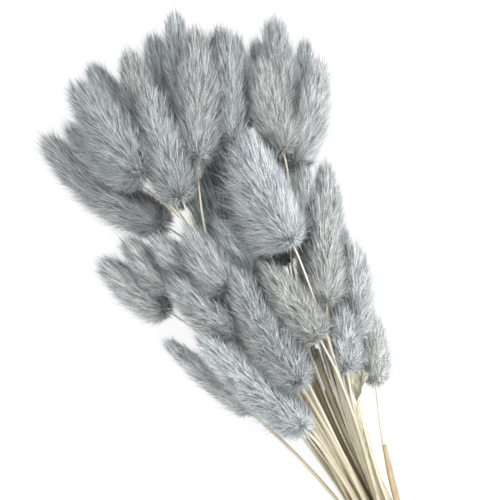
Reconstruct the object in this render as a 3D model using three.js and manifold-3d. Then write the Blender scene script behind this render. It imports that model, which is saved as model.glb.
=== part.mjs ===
import * as THREE from 'three';
import { mergeVertices } from 'three/addons/utils/BufferGeometryUtils.js';
import Module from 'manifold-3d';

// A cut bunch of dried bunny tail grass, tied low down and lying on a flat surface.
// Sizes are millimetres. Y runs along the bunch from the cut ends to the heads, X across it and
// Z up from the surface. Places along Y are measured from the tie, and the last lines centre it.
const wasm = await Module();
wasm.setup();

const GAP = 0.3;

// Seed heads: the solid of each is a little slimmer than its fur, and stands in tufts
const HEAD_SIDES = 10;
const HEAD_BANDS = 10;
const SOLID_SHARE = 0.84;
const TUFT_DIP = 0.72;
const TUFT_REACH = 2.4;
const NECK_RADIUS = 0.9;
const TIP_RISE = 0.5;
const NECK_ROOM = 1.3;
const HEADS_APART = 90;
const BALL_SHARES = [-0.2, -0.1, 0, 0.08, 0.2, 0.32, 0.44, 0.56, 0.68, 0.8, 0.92, 1];

// Where each head lies, seen from above: its neck across and along the bunch, its length, its lean
// to the right in degrees, the width of its fur, its neck's height, and its bow to the right
const HEADS = [
  [-27, 213.4, 72, -27, 21.5, 5, -4],
  [-29, 237, 43, -24, 17, 24, -1],
  [-22, 238, 55, -12, 22, 42, -1],
  [-20, 258, 41, -5, 16, 10, 0],
  [-13, 254, 42, 12, 17, 28, 0],
  [-15, 221, 54, 11, 20, 42, -1],
  [-3, 247, 52, 14, 19, 14, 0],
  [4, 248, 57, 20, 15, 28, 0],
  [2, 233, 62, 26, 19, 42, 1],
  [20, 233, 55, 21, 17, 38, 0],
  [29, 238, 44, 21, 14, 20, 0],
  [38, 236, 40, 23, 13, 8, 0],
  [46, 230, 51, 22, 17, 26, 0],
  [40, 218, 44, 13, 17, 42, -1],
  [45, 219, 41, 27, 14, 14, 0],
  [54, 226, 42, 30, 13, 5, 0],
  [41, 210, 52, 41, 17, 30, 2],
  [24, 178, 54, 4, 24, 54, -1],
  [30, 173, 38, 23, 14, 34, 0],
  [37, 167, 41, 26, 15, 26, 1],
  [26, 145, 47, 22, 17, 40, 0],
  [32, 140, 38, 26, 14, 20, 0],
  [29.8, 124, 44, 27, 16, 26, 1],
  [30, 98, 34, 23, 15, 5, 0],
  [20, 111, 34, 20, 15, 34, 0],
  [16, 100, 39, 7, 13, 5, 0],
  [15, 132, 42, -11, 17, 48, 0],
  [-3, 116, 64, -3, 20, 40, -1],
  [-13, 171, 35, -8, 18, 44, 0],
  [-19, 152, 40, -24, 19, 36, -1],
  [-11, 95.7, 67, -21, 18.5, 34, -1],
  [-26.6, 114.5, 54, -27, 12.5, 5, 0],
  [-44.5, 175.2, 41, -26, 19, 5, -1],
  [-38, 185, 32, -17, 16, 22, 0],
  [-24, 180, 32, -19, 16, 32, 0],
  [-1, 160, 43, -3, 14, 40, 0],
  [21, 142, 38, 14, 13, 26, 0],
  [-14, 98, 38, -34, 13, 5, 0],
  [9, 212, 46, 12, 18, 5, 0],
  [31, 200, 46, 26, 17, 5, 0],
  [-12, 217, 44, 2, 17, 5, 0],
  [3, 122, 46, 3, 17, 5, 0],
  [-14, 136, 46, -16, 17, 5, 0],
  [-3, 188, 42, 4, 17, 20, 0],
  [14, 170, 42, 8, 16, 5, 0],
  [30, 150, 44, 22, 16, 5, 0],
];

// Stems: five-sided, thickest at the cut end, gathered in strands at the tie
const STEM_SIDES = 5;
const STEM_RADIUS = 0.8;
const STEM_TIP_RADIUS = 0.5;
const STRAND_SIZES = [4, 4, 4, 4, 4, 4, 4, 4, 4, 4, 3, 3];
const STRAND_PITCH = 3.75;
const STEM_PITCH = 1.2;
const TIED_HALF = 15;
const CUT_LENGTH = 100;
const CUT_RAGGED = 7;
const CUT_FLARE = 1.4;
const STATION = 3.5;
const STATIONS_A_RING = 4;
const LEAD_IN = 6;
const FAN_SHARE = 0.25;
const NECK_PULL = 1.15;
const STEEPEST = 0.65;
const FAN_AT = 45;
const HEAD_NEARBY = 50;
const FAR_NECKS = 200;
const FAR_SAG = 6;
const SLANT = 1.36;

// The tie: flat raffia wound round the strands, with a knot and two tails
const TIE_INSIDE = Math.sqrt(3) * STRAND_PITCH + STEM_PITCH * Math.SQRT1_2 + STEM_RADIUS + GAP;
const TIE_THICKNESS = 1.9;
const TIE_TURNS = 3;
const TURN_WIDTH = 3.4;
const TIE_SIDES = 18;
const KNOT_RADIUS = 3;
const TAIL_WIDTH = 4.2;
const TAIL_END_WIDTH = 3;
const TAIL_THICKNESS = 0.8;
const TAIL_ASIDE = 1;
const UPPER_TAIL = [18, 32, 46, 60, 72];
const BUNDLE_HEIGHT = TIE_INSIDE + TIE_THICKNESS;

// The dried leaf: a sheath rolled round one stem, which opens into a short blade
const LEAF_STEM = 22;
const LEAF_WIDTH = 11;
const LEAF_THICKNESS = 0.7;
const SHEATH_RADIUS = 1.7;
const SHEATH_START = 30;
const SHEATH_END = 84;
const BLADE_END = 110;
const BLADE_ASIDE = 1.5;
const BLADE_RISE = 2.5;
const LEAF_FACING = THREE.MathUtils.degToRad(78);

const colours = {
  fur: new THREE.MeshStandardMaterial({ color: 0xa3aeb4, roughness: 0.95, metalness: 0 }),
  straw: new THREE.MeshStandardMaterial({ color: 0xe6d9b4, roughness: 0.6, metalness: 0 }),
  leaf: new THREE.MeshStandardMaterial({ color: 0xc9c6ae, roughness: 0.8, metalness: 0 }),
  raffia: new THREE.MeshStandardMaterial({ color: 0xdabf8e, roughness: 0.75, metalness: 0 }),
};

function seeded(seed) {
  let state = seed;
  return () => {
    state = (state * 1664525 + 1013904223) % 4294967296;
    return state / 4294967296;
  };
}

const random = seeded(7);

// Share of a head's full radius at a share of its length from the neck
function headProfile(share) {
  const t = THREE.MathUtils.clamp(share, 0.001, 0.999);
  return Math.sin(Math.PI * t ** 0.74) ** 0.55;
}

// Heads, pointing away from the tie, with the higher ones rising a little to their tips
const heads = HEADS.map(([x, y, length, lean, width, height, bow]) => {
  const angle = THREE.MathUtils.degToRad(lean);
  const rise = Math.max(0, (height - BUNDLE_HEIGHT) / y) * length * TIP_RISE;
  const neck = new THREE.Vector3(x, y, height);
  const tip = neck.clone();
  tip.add(new THREE.Vector3(length * Math.sin(angle), length * Math.cos(angle), rise));
  return { neck, tip, neckHome: neck.clone(), tipHome: tip.clone(), radius: SOLID_SHARE * width / 2, bow };
});

// A point on a head's axis, which bows a little to one side
function onAxis(head, share) {
  const point = head.neck.clone().lerp(head.tip, share);
  const along = head.tip.clone().sub(head.neck).normalize();
  const side = new THREE.Vector3(along.y, -along.x, 0).normalize();
  return point.addScaledVector(side, head.bow * 4 * share * (1 - share));
}

function shiftHead(head, share, push) {
  const scale = 1 / ((1 - share) ** 2 + share ** 2);
  head.neck.addScaledVector(push, (1 - share) * scale);
  head.tip.addScaledVector(push, share * scale);
}

// The room that a head fills, as balls along its axis and a little way down its stem
function ballsOf(head) {
  return BALL_SHARES.map((share) => ({
    share,
    centre: onAxis(head, share),
    radius: Math.max(head.radius * headProfile(share), NECK_ROOM),
  }));
}

// Shifts the heads until they clear the surface and each other, near the places chosen for them
function settleHeads() {
  const rounds = 500;
  for (let round = 0; round < rounds; round += 1) {
    const hold = round < rounds * 0.8 ? 0.15 : 0.01;
    for (const head of heads) {
      head.neck.lerp(head.neckHome, hold);
      head.tip.lerp(head.tipHome, hold);
    }
    const balls = heads.map(ballsOf);
    for (let i = 0; i < heads.length; i += 1) {
      for (let j = i + 1; j < heads.length; j += 1) partHeads(i, j, balls);
    }
    for (const head of heads) {
      for (const { share, centre, radius } of ballsOf(head)) {
        const under = radius - centre.z;
        if (under > 0) shiftHead(head, share, new THREE.Vector3(0, 0, under));
      }
    }
  }
}

// Pushes two heads apart where they meet, mostly up and down, with the one meant to be higher on top
function partHeads(i, j, balls) {
  const middle = BALL_SHARES.length / 2;
  if (balls[i][middle].centre.distanceTo(balls[j][middle].centre) > HEADS_APART) return;
  const above = Math.sign(heads[i].neckHome.z - heads[j].neckHome.z);
  for (const a of balls[i]) {
    for (const b of balls[j]) {
      const need = a.radius + b.radius + GAP;
      const missing = need - a.centre.distanceTo(b.centre);
      if (missing <= 0) continue;
      const apart = a.centre.clone().sub(b.centre);
      apart.x *= 0.5;
      apart.y *= 0.5;
      apart.z += 0.3 * need * above;
      apart.setLength(missing * 0.3);
      shiftHead(heads[i], a.share, apart);
      shiftHead(heads[j], b.share, apart.negate());
    }
  }
}

// Places for the stems at the tie: strands on a hexagonal grid, and a ring of stems in each
function makeSlots() {
  const slots = [];
  STRAND_SIZES.forEach((size, strand) => {
    const ring = Math.min(Math.ceil(strand / 6), 2);
    const angle = (strand - 1) * Math.PI / 3 + (ring === 2 ? Math.PI / 6 : 0);
    const out = [0, 1, Math.sqrt(3)][ring] * STRAND_PITCH;
    const spread = STEM_PITCH / (2 * Math.sin(Math.PI / size));
    for (let i = 0; i < size; i += 1) {
      const turn = angle + (i + 0.5) * 2 * Math.PI / size;
      const x = out * Math.cos(angle) + spread * Math.cos(turn);
      const z = out * Math.sin(angle) + spread * Math.sin(turn);
      slots.push({ x, z: z + BUNDLE_HEIGHT, strand });
    }
  });
  return slots;
}

// Gives each head the slot that lies most nearly on its straight line from the tie
function shareSlots(slots) {
  const fan = heads.map(({ neck }) => ({
    x: neck.x / neck.y * FAN_AT,
    z: (neck.z - BUNDLE_HEIGHT) / neck.y * FAN_AT,
  }));
  const middle = { x: 0, z: 0 };
  for (const ray of fan) {
    middle.x += ray.x / fan.length;
    middle.z += ray.z / fan.length;
  }
  const chosen = slots.map((slot, i) => i);
  const miss = (head, slot) => (fan[head].x - middle.x - slots[slot].x) ** 2
    + (fan[head].z - middle.z - slots[slot].z + BUNDLE_HEIGHT) ** 2;
  for (let round = 0; round < 40; round += 1) {
    for (let i = 0; i < chosen.length; i += 1) {
      for (let j = i + 1; j < chosen.length; j += 1) {
        const now = miss(i, chosen[i]) + miss(j, chosen[j]);
        const swapped = miss(i, chosen[j]) + miss(j, chosen[i]);
        if (swapped < now) [chosen[i], chosen[j]] = [chosen[j], chosen[i]];
      }
    }
  }
  return chosen.map((slot) => slots[slot]);
}

function stemRadius(stem, y) {
  const share = THREE.MathUtils.clamp(y / stem.head.neck.y, 0, 1);
  return THREE.MathUtils.lerp(STEM_RADIUS, STEM_TIP_RADIUS, share);
}

// Room that a stem needs round its middle, with the rolled sheath on the leafy one
function stemRoom(stem, y) {
  const sheathed = stem.leafy && y > SHEATH_START - STATION && y < SHEATH_END + STATION;
  return sheathed ? SHEATH_RADIUS + LEAF_THICKNESS : stemRadius(stem, y);
}

// Place along a smooth curve between two values, from its slopes at both ends
function smoothBetween(start, end, startSlope, endSlope, t) {
  const back = 1 - t;
  return start * (1 + 2 * t) * back * back + end * (3 - 2 * t) * t * t
    + startSlope * t * back * back - endSlope * t * t * back;
}

// Stems as points at even stations along Y, as curves that stay in the sheaf for most of their
// length and then swing out to reach the neck along the head's own line
function makeStems(slots) {
  return heads.map((head, index) => {
    const slot = slots[index];
    const along = onAxis(head, 0.1).sub(head.neck).normalize();
    const end = head.neck.clone().addScaledVector(along, -GAP);
    const start = new THREE.Vector3(slot.x, TIED_HALF, slot.z);
    const span = end.y - start.y;
    const sag = end.y > FAR_NECKS ? FAR_SAG : 0;
    const count = Math.round(span / STATION);
    const points = [];
    for (let k = 0; k <= count; k += 1) {
      const t = k / count;
      const point = new THREE.Vector3(0, start.y + span * t, -sag * 4 * t * (1 - t));
      for (const axis of ['x', 'z']) {
        const slope = THREE.MathUtils.clamp(along[axis] / along.y, -STEEPEST, STEEPEST);
        const startPull = (end[axis] - start[axis]) * FAN_SHARE;
        point[axis] += smoothBetween(start[axis], end[axis], startPull, slope * span * NECK_PULL, t);
      }
      points.push(point);
    }
    return { head, slot, along, start, end, points, leafy: index === LEAF_STEM };
  });
}

// Pushes a stem's point out of a head, across the bunch only
function clearOfHead(point, room, head) {
  const toPoint = point.clone().sub(head.neck);
  const share = THREE.MathUtils.clamp(toPoint.dot(head.axis) / head.axis.lengthSq(), 0, 1);
  const bow = head.bow * 4 * share * (1 - share);
  const out = toPoint.addScaledVector(head.axis, -share).addScaledVector(head.side, -bow);
  const missing = (head.radius * headProfile(share) + room) * 1.08 + GAP - out.length();
  if (missing <= 0) return;
  out.y = 0;
  out.setLength(missing);
  point.add(out);
}

// Eases each point towards a springy curve through its neighbours, and the last ones onto the neck
function smoothStem(stem, ease) {
  const { points, end, along } = stem;
  const last = points.length - 1;
  for (let k = 1; k < last; k += 1) {
    const [a, b, c, d] = [k - 2, k - 1, k + 1, k + 2].map((i) => points[Math.min(Math.max(i, 0), last)]);
    const stiff = k > 1 && k < last - 1;
    const point = points[k];
    for (const axis of ['x', 'z']) {
      const straight = (b[axis] + c[axis]) / 2;
      const springy = stiff ? straight * 4 / 3 - (a[axis] + d[axis]) / 6 : straight;
      point[axis] += (springy * 0.8 + straight * 0.2 - point[axis]) * ease;
    }
    const back = end.y - point.y;
    if (back < LEAD_IN) {
      const onLine = end.clone().addScaledVector(along, -back / along.y);
      point.x += (onLine.x - point.x) * ease;
      point.z += (onLine.z - point.z) * ease;
    }
  }
}

// Bends the stems clear of the heads and of each other, and keeps them smooth
function routeStems(stems) {
  const rounds = 800;
  for (let round = 0; round < rounds; round += 1) {
    const ease = 0.5 * Math.min(1, 2 * (1 - round / rounds)) ** 3;
    for (const stem of stems) smoothStem(stem, ease);
    partStems(stems);
    clearOfBlade(stems);
    for (const stem of stems) {
      for (const point of stem.points.slice(1, -1)) {
        const room = stemRoom(stem, point.y);
        for (const head of heads) {
          const near = Math.abs(point.y - (head.neck.y + head.tip.y) / 2) < HEAD_NEARBY;
          if (near && head !== stem.head) clearOfHead(point, room, head);
        }
        point.z = Math.max(point.z, room + 0.1);
      }
    }
  }
}

// Pushes neighbouring stems apart wherever they pass the same station
function partStems(stems) {
  for (let i = 0; i < stems.length; i += 1) {
    for (let j = i + 1; j < stems.length; j += 1) {
      const count = Math.min(stems[i].points.length, stems[j].points.length);
      for (let k = 1; k < count; k += 1) {
        const a = stems[i].points[k];
        const b = stems[j].points[k];
        const y = (a.y + b.y) / 2;
        const dx = a.x - b.x;
        const dz = a.z - b.z;
        const apart = Math.max(Math.hypot(dx, dz), 0.01);
        const missing = (stemRoom(stems[i], y) + stemRoom(stems[j], y)) * SLANT + GAP - apart;
        if (missing <= 0) continue;
        const ends = (k === stems[i].points.length - 1) - (k === stems[j].points.length - 1);
        const push = missing / apart;
        const first = [1, 0.5, 0][ends + 1] * 0.9 * push;
        const second = [0, 0.5, 1][ends + 1] * 0.9 * push;
        a.x += dx * first;
        a.z += dz * first;
        b.x -= dx * second;
        b.z -= dz * second;
      }
    }
  }
}

// How far the leaf has opened at a place along the bunch, from 0 in the sheath to 1 at its end
function leafOpening(y) {
  return THREE.MathUtils.smoothstep(y, SHEATH_END - 8, BLADE_END);
}

// Keeps the other stems out of the leaf's blade, which leaves its stem to the right
function clearOfBlade(stems) {
  const { points } = stems[LEAF_STEM];
  for (const stem of stems) {
    if (stem.leafy) continue;
    for (let k = 1; k < Math.min(points.length, stem.points.length); k += 1) {
      const open = leafOpening(points[k].y);
      if (open === 0 || points[k].y > BLADE_END) continue;
      const dx = stem.points[k].x - points[k].x - BLADE_ASIDE * open;
      const dz = stem.points[k].z - points[k].z - BLADE_RISE * open;
      const apart = Math.max(Math.hypot(dx, dz), 0.01);
      const missing = SHEATH_RADIUS + LEAF_THICKNESS + 2.4 * open + 1 - apart;
      if (missing <= 0) continue;
      stem.points[k].x += dx * missing / apart;
      stem.points[k].z += dz * missing / apart;
    }
  }
}

// Moves a shape one unit long, built along +Y, ring by ring onto a line of points
function alongPoints(geometry, points) {
  const rings = points.length - 1;
  const position = geometry.attributes.position;
  for (let i = 0; i < position.count; i += 1) {
    const ring = Math.round((position.getY(i) + 0.5) * rings);
    const before = points[Math.max(ring - 1, 0)];
    const after = points[Math.min(ring + 1, rings)];
    const along = after.clone().sub(before).normalize();
    const side = new THREE.Vector3(along.y, -along.x, 0).normalize();
    const up = side.clone().cross(along);
    const point = points[ring].clone()
      .addScaledVector(side, position.getX(i))
      .addScaledVector(up, position.getZ(i));
    position.setXYZ(i, point.x, point.y, point.z);
  }
  return closed(geometry);
}

// Keeps positions only, with shared corners joined
function closed(geometry) {
  geometry.deleteAttribute('normal');
  geometry.deleteAttribute('uv');
  return mergeVertices(geometry, 1e-4);
}

function toManifold(geometry) {
  const index = geometry.index.array;
  const kept = [];
  for (let i = 0; i < index.length; i += 3) {
    const [a, b, c] = index.slice(i, i + 3);
    if (a !== b && b !== c && c !== a) kept.push(a, b, c);
  }
  return new wasm.Manifold(new wasm.Mesh({
    numProp: 3,
    vertProperties: new Float32Array(geometry.attributes.position.array),
    triVerts: new Uint32Array(kept),
  }));
}

function fuse(geometries) {
  let solid = toManifold(geometries[0]);
  for (const geometry of geometries.slice(1)) solid = solid.add(toManifold(geometry));
  const mesh = solid.getMesh();
  const fused = new THREE.BufferGeometry();
  fused.setAttribute('position', new THREE.BufferAttribute(mesh.vertProperties, 3));
  fused.setIndex(new THREE.BufferAttribute(mesh.triVerts, 1));
  return fused;
}

// A head: rings of tufts that stand out by turns and lean towards the tip
function headGeometry(head) {
  const length = head.neck.distanceTo(head.tip);
  const profile = [new THREE.Vector2(0, 0), new THREE.Vector2(NECK_RADIUS, 0)];
  for (let band = 1; band < HEAD_BANDS - 1; band += 1) {
    const share = (band - 0.45) / (HEAD_BANDS - 1.5);
    profile.push(new THREE.Vector2(head.radius * headProfile(share), length * share));
  }
  profile.push(new THREE.Vector2(0, length));
  const geometry = new THREE.LatheGeometry(profile, HEAD_SIDES);
  const position = geometry.attributes.position;
  for (let i = 0; i < position.count; i += 1) {
    const band = i % profile.length;
    const side = Math.floor(i / profile.length) % HEAD_SIDES;
    const plain = band < 2 || band === profile.length - 1;
    const tuft = (band + side) % 2 === 0;
    const width = plain || tuft ? 1 : TUFT_DIP;
    const lean = !plain && tuft ? Math.min(TUFT_REACH, 0.045 * length) : 0;
    const y = position.getY(i) + lean;
    const point = onAxis(head, y / length)
      .addScaledVector(head.side, position.getX(i) * width)
      .addScaledVector(head.up, position.getZ(i) * width);
    position.setXYZ(i, point.x, point.y, point.z);
  }
  return closed(geometry);
}

// The line of a stem from its cut end, through the tie, to its head
function stemLine(stem, cut) {
  const { x, z } = stem.slot;
  const flared = new THREE.Vector3(x * CUT_FLARE, -cut, (z - BUNDLE_HEIGHT) * CUT_FLARE + BUNDLE_HEIGHT);
  const line = [flared, new THREE.Vector3(x, -TIED_HALF, z), stem.start];
  const count = stem.points.length - 1;
  for (let k = STATIONS_A_RING; k < count - 1; k += STATIONS_A_RING) line.push(stem.points[k]);
  line.push(stem.points[count]);
  return line;
}

function stemGeometry(stem, cut, roll) {
  const line = stemLine(stem, cut);
  const rings = line.length - 1;
  const geometry = new THREE.CylinderGeometry(STEM_RADIUS, STEM_RADIUS, 1, STEM_SIDES, rings);
  geometry.rotateY(roll);
  const position = geometry.attributes.position;
  for (let i = 0; i < position.count; i += 1) {
    const ring = Math.round((position.getY(i) + 0.5) * rings);
    const thin = stemRadius(stem, line[ring].y) / STEM_RADIUS;
    position.setX(i, position.getX(i) * thin);
    position.setZ(i, position.getZ(i) * thin);
  }
  return alongPoints(geometry, line);
}

function strandGeometry(stems) {
  return fuse(stems.map((stem) => {
    const cut = CUT_LENGTH + (random() - 0.5) * 2 * CUT_RAGGED;
    return stemGeometry(stem, cut, random() * Math.PI);
  }));
}

// A flat strip of raffia along a smooth line, narrowing to its end
function tailGeometry(points, rings) {
  const line = new THREE.CatmullRomCurve3(points).getSpacedPoints(rings);
  const geometry = new THREE.BoxGeometry(TAIL_WIDTH, 1, TAIL_THICKNESS, 1, rings, 1);
  const position = geometry.attributes.position;
  for (let i = 0; i < position.count; i += 1) {
    const share = position.getY(i) + 0.5;
    position.setX(i, position.getX(i) * THREE.MathUtils.lerp(1, TAIL_END_WIDTH / TAIL_WIDTH, share));
  }
  return alongPoints(geometry, line);
}

// A place for the upper tail: over the right edge of the sheaf, clear above the stems there
function besideStems(stems, y) {
  const k = Math.max(Math.round((y - TIED_HALF) / STATION), 0);
  const there = stems.filter((stem) => stem.points.length > k).map((stem) => ({
    x: stem.points[k].x,
    top: stem.points[k].z + stemRoom(stem, y),
  }));
  const x = Math.max(...there.map((place) => place.x)) + TAIL_ASIDE;
  const under = there.filter((place) => place.x > x - 5).map((place) => place.top);
  return new THREE.Vector3(x, y, Math.max(...under) + TAIL_THICKNESS + 3 * GAP);
}

function tieGeometry(stems) {
  const profile = [];
  const half = TIE_TURNS * TURN_WIDTH / 2;
  profile.push(new THREE.Vector2(TIE_INSIDE, -half));
  for (let turn = 0; turn < TIE_TURNS; turn += 1) {
    const low = -half + turn * TURN_WIDTH;
    profile.push(new THREE.Vector2(TIE_INSIDE + TIE_THICKNESS * 0.6, low));
    profile.push(new THREE.Vector2(TIE_INSIDE + TIE_THICKNESS, low + TURN_WIDTH * 0.3));
    profile.push(new THREE.Vector2(TIE_INSIDE + TIE_THICKNESS, low + TURN_WIDTH * 0.7));
  }
  profile.push(new THREE.Vector2(TIE_INSIDE + TIE_THICKNESS * 0.6, half));
  profile.push(new THREE.Vector2(TIE_INSIDE, half));
  profile.push(profile[0].clone());
  const wound = closed(new THREE.LatheGeometry(profile, TIE_SIDES));
  wound.translate(0, 0, BUNDLE_HEIGHT);
  const out = (TIE_INSIDE + KNOT_RADIUS + GAP) * Math.SQRT1_2;
  const knotPlace = new THREE.Vector3(out, 0, BUNDLE_HEIGHT + out);
  const knot = closed(new THREE.SphereGeometry(KNOT_RADIUS, 8, 6));
  knot.scale(1, 1.5, 1).translate(knotPlace.x, knotPlace.y, knotPlace.z);
  const upper = tailGeometry([
    knotPlace.clone(),
    ...UPPER_TAIL.map((y) => besideStems(stems, y)),
  ], 8);
  const lower = tailGeometry([
    knotPlace.clone(),
    new THREE.Vector3(14, -10, 17),
    new THREE.Vector3(19, -24, 9),
    new THREE.Vector3(23, -38, 2.5),
    new THREE.Vector3(26, -50, 0.8),
  ], 7);
  return fuse([wound, knot, upper, lower]);
}

// The leaf: a strip rolled round its stem, with the roll opening into a flat blade
function leafGeometry(stem) {
  const geometry = new THREE.BoxGeometry(2, 1, 1, 6, 11, 1);
  const position = geometry.attributes.position;
  const line = stem.points;
  for (let i = 0; i < position.count; i += 1) {
    const share = position.getY(i) + 0.5;
    const y = THREE.MathUtils.lerp(SHEATH_START, BLADE_END, share);
    const k = THREE.MathUtils.clamp((y - TIED_HALF) / STATION, 0, line.length - 1.001);
    const centre = line[Math.floor(k)].clone().lerp(line[Math.floor(k) + 1], k % 1);
    const open = leafOpening(y);
    const half = THREE.MathUtils.degToRad(THREE.MathUtils.lerp(150, 24, open));
    const width = LEAF_WIDTH * (1 - 0.35 * open * open);
    const radius = Math.max(width / (2 * half), SHEATH_RADIUS);
    const wall = radius + LEAF_THICKNESS * (position.getZ(i) + 0.5);
    const turn = position.getX(i) * half;
    const outward = wall * Math.cos(turn) - radius + SHEATH_RADIUS;
    const sideways = wall * Math.sin(turn);
    const x = centre.x + outward * Math.cos(LEAF_FACING) + sideways * Math.sin(LEAF_FACING);
    const z = centre.z + outward * Math.sin(LEAF_FACING) - sideways * Math.cos(LEAF_FACING);
    position.setXYZ(i, x + open * BLADE_ASIDE, y, z + open * BLADE_RISE);
  }
  return closed(geometry);
}

function add(group, name, geometry, material) {
  const mesh = new THREE.Mesh(geometry, material);
  mesh.name = name;
  group.add(mesh);
}

function twoDigits(number) {
  return String(number).padStart(2, '0');
}

settleHeads();
for (const head of heads) {
  head.axis = head.tip.clone().sub(head.neck);
  head.side = new THREE.Vector3(head.axis.y, -head.axis.x, 0).normalize();
  head.up = head.side.clone().cross(head.axis).normalize();
}
const stems = makeStems(shareSlots(makeSlots()));
routeStems(stems);

const bunch = new THREE.Group();
heads.forEach((head, i) => add(bunch, `head_${twoDigits(i + 1)}`, headGeometry(head), colours.fur));
STRAND_SIZES.forEach((size, strand) => {
  const own = stems.filter((stem) => stem.slot.strand === strand);
  add(bunch, `stems_${twoDigits(strand + 1)}`, strandGeometry(own), colours.straw);
});
add(bunch, 'raffia_tie', tieGeometry(stems), colours.raffia);
add(bunch, 'flag_leaf', leafGeometry(stems[LEAF_STEM]), colours.leaf);

// Centre the bunch over the origin, with its lowest point on the surface
const bounds = new THREE.Box3().setFromObject(bunch);
const centre = bounds.getCenter(new THREE.Vector3());
bunch.position.set(-centre.x, -centre.y, -bounds.min.z);

export default bunch;
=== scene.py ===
# The looks of a tied bunch of dried bunny tail grass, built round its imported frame.
# Lengths are metres. Y runs along the bunch to the heads, X across it, Z up from the surface.
import math

import bpy
import numpy as np
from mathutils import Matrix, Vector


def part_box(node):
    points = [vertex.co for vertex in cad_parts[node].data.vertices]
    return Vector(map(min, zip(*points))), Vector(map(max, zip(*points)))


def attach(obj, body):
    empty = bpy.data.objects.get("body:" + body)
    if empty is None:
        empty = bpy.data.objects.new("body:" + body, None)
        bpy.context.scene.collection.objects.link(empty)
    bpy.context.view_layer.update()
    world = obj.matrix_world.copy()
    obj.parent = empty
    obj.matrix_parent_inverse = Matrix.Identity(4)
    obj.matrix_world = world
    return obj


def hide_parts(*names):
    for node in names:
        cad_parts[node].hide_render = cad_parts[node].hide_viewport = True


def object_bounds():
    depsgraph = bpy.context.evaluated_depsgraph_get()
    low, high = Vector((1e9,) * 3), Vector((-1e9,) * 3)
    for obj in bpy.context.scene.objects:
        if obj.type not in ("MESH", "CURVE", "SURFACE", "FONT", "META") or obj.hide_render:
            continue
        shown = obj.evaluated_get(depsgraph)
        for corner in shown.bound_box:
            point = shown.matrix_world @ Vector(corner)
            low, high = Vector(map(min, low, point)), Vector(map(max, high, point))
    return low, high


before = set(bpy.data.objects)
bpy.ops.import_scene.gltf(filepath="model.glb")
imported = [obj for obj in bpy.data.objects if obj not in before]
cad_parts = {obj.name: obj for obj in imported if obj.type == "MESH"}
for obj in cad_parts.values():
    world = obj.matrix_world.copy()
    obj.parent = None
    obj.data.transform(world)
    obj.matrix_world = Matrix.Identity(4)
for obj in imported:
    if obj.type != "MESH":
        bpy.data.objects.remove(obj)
cad_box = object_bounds()

MM = 0.001

# The camera looks straight down through a long lens, as the photograph does
VIEW_WIDTH = 0.240
VIEW_CENTRE = (-0.00088, 0.08607)
VIEW_TURN = math.radians(-27)
VIEW_PLANE = 0.030
CAMERA_HEIGHT = 1.5
CAMERA_CLIP = (0.05, 20)
SENSOR_WIDTH = 36.0

# Light from a white world and one soft lamp, over a ground that glows white
WORLD_LIGHT = 1.07
KEY_PLACE = (0.60, 0.0, 1.2)
KEY_AIM = (0, 0.05, 0)
KEY_SIZE = 0.8
KEY_POWER = 12.5
FLOOR_HALF = 3.0
FLOOR_DROP = 0.2 * MM
FLOOR_GREY = 0.12
FLOOR_GLOW = 0.89
FLOOR_ROUGHNESS = 0.9
FLOOR_GLOSS = 0.1

# The tie's place, from which places along the bunch are counted
TIE_FROM_CUT = 0.10663
TIE_Y = cad_box[0].y + TIE_FROM_CUT

# The room for hairs, from just off the surface to a little over the solids
FLOOR_CLEAR = 0.15 * MM
HAIR_TOP = cad_box[1].z + 9 * MM

# A head's form. Places along it run from its neck at 0 to its tip at 1, and places across it
# are shares of the fur's full radius
SOLID_SHARE = 0.84
CORE_SHARE = 0.5
CORE_ENDS = (0.02, 0.86)
CORE_POLES = (0.01, 0.89)
CORE_RINGS = 14
CORE_SIDES = 16
ROOT_SHARE = 0.36
ROOT_LIMITS = (0.01, 0.93)
FORM_LIMITS = (0.002, 0.998)
FORM_LEAN = 0.66
FORM_FULLNESS = 0.4
FORM_STRETCH = 1.12
FORM_STEPS = 400
END_SHIFT = 0.02
BEHIND_NECK = 0.05

# How many hairs all heads have together, and how they are shared out
HAIR_TOTAL = 520000
TOP_SHARE = 0.62
END_COVER = 0.25
HIDDEN_FIRST = 39
HIDDEN_DENSITY = 0.6

# Hairs, which are longer in fluffy heads and shorter in those near the tie
HAIR_REACH = 7.2 * MM
SHORT_FROM = 0.190
SHORT_OVER = 0.05
SHORT_HAIR = 0.25
HAIR_WIDTH = 0.20 * MM
HAIR_WIDTHS = (0.65, 1.35)
HAIR_ROLL = 0.9
BEND_PLACE = 0.4
BEND_RADIUS = 0.9
TIP_FROM = 0.8
TIP_OVER = 0.2
TIP_TUFT = 5 * MM
TIP_NARROWING = (-1, 0.8)
TOP_FLUFF = 0.12
FLUFF_FROM = 0.015
FLUFF_OVER = 0.035
FLUFF = {39: 1.2, 40: 1.2, 41: 1.2, 44: 1.45, 45: 1.45, 46: 1.2}
FLUFF_LENGTH = 1.5

# Long single hairs that stand out further than the rest
FAR_STAND = (0.05, 0.45)
FAR_RUN = 0.06
FAR_WIDTH = 0.6

# One head's fur fans out to the left of the view, with more single hairs there
FAN_HEAD = 18
FAN_WAY = np.array([-math.cos(VIEW_TURN), -math.sin(VIEW_TURN), 0])
FAN = {"fan": 0.32, "stray": 0.10, "stray_reach": 0.75}
NO_FAN = {"fan": 0, "stray": 0, "stray_reach": 0}

# How wisps differ over a head, in radians or as shares
GOLDEN_ANGLE = math.pi * (3 - math.sqrt(5))
WISP_SCATTER = 0.25
WISP_LIFT = 0.06
WISP_SWIRL = 0.14
WISP_TURN = 0.12
WISP_REACHES = (0.7, 1.3)
WISP_ROOT = 0.02
WISP_ROOT_RISE = 0.25
WISP_MOTTLE = 0.05
WISP_WARMTH = 0.15
WAVE_COUNT = 6
WAVE_RUNS = 1.6
WAVE_HEIGHT = 2.5

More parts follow.
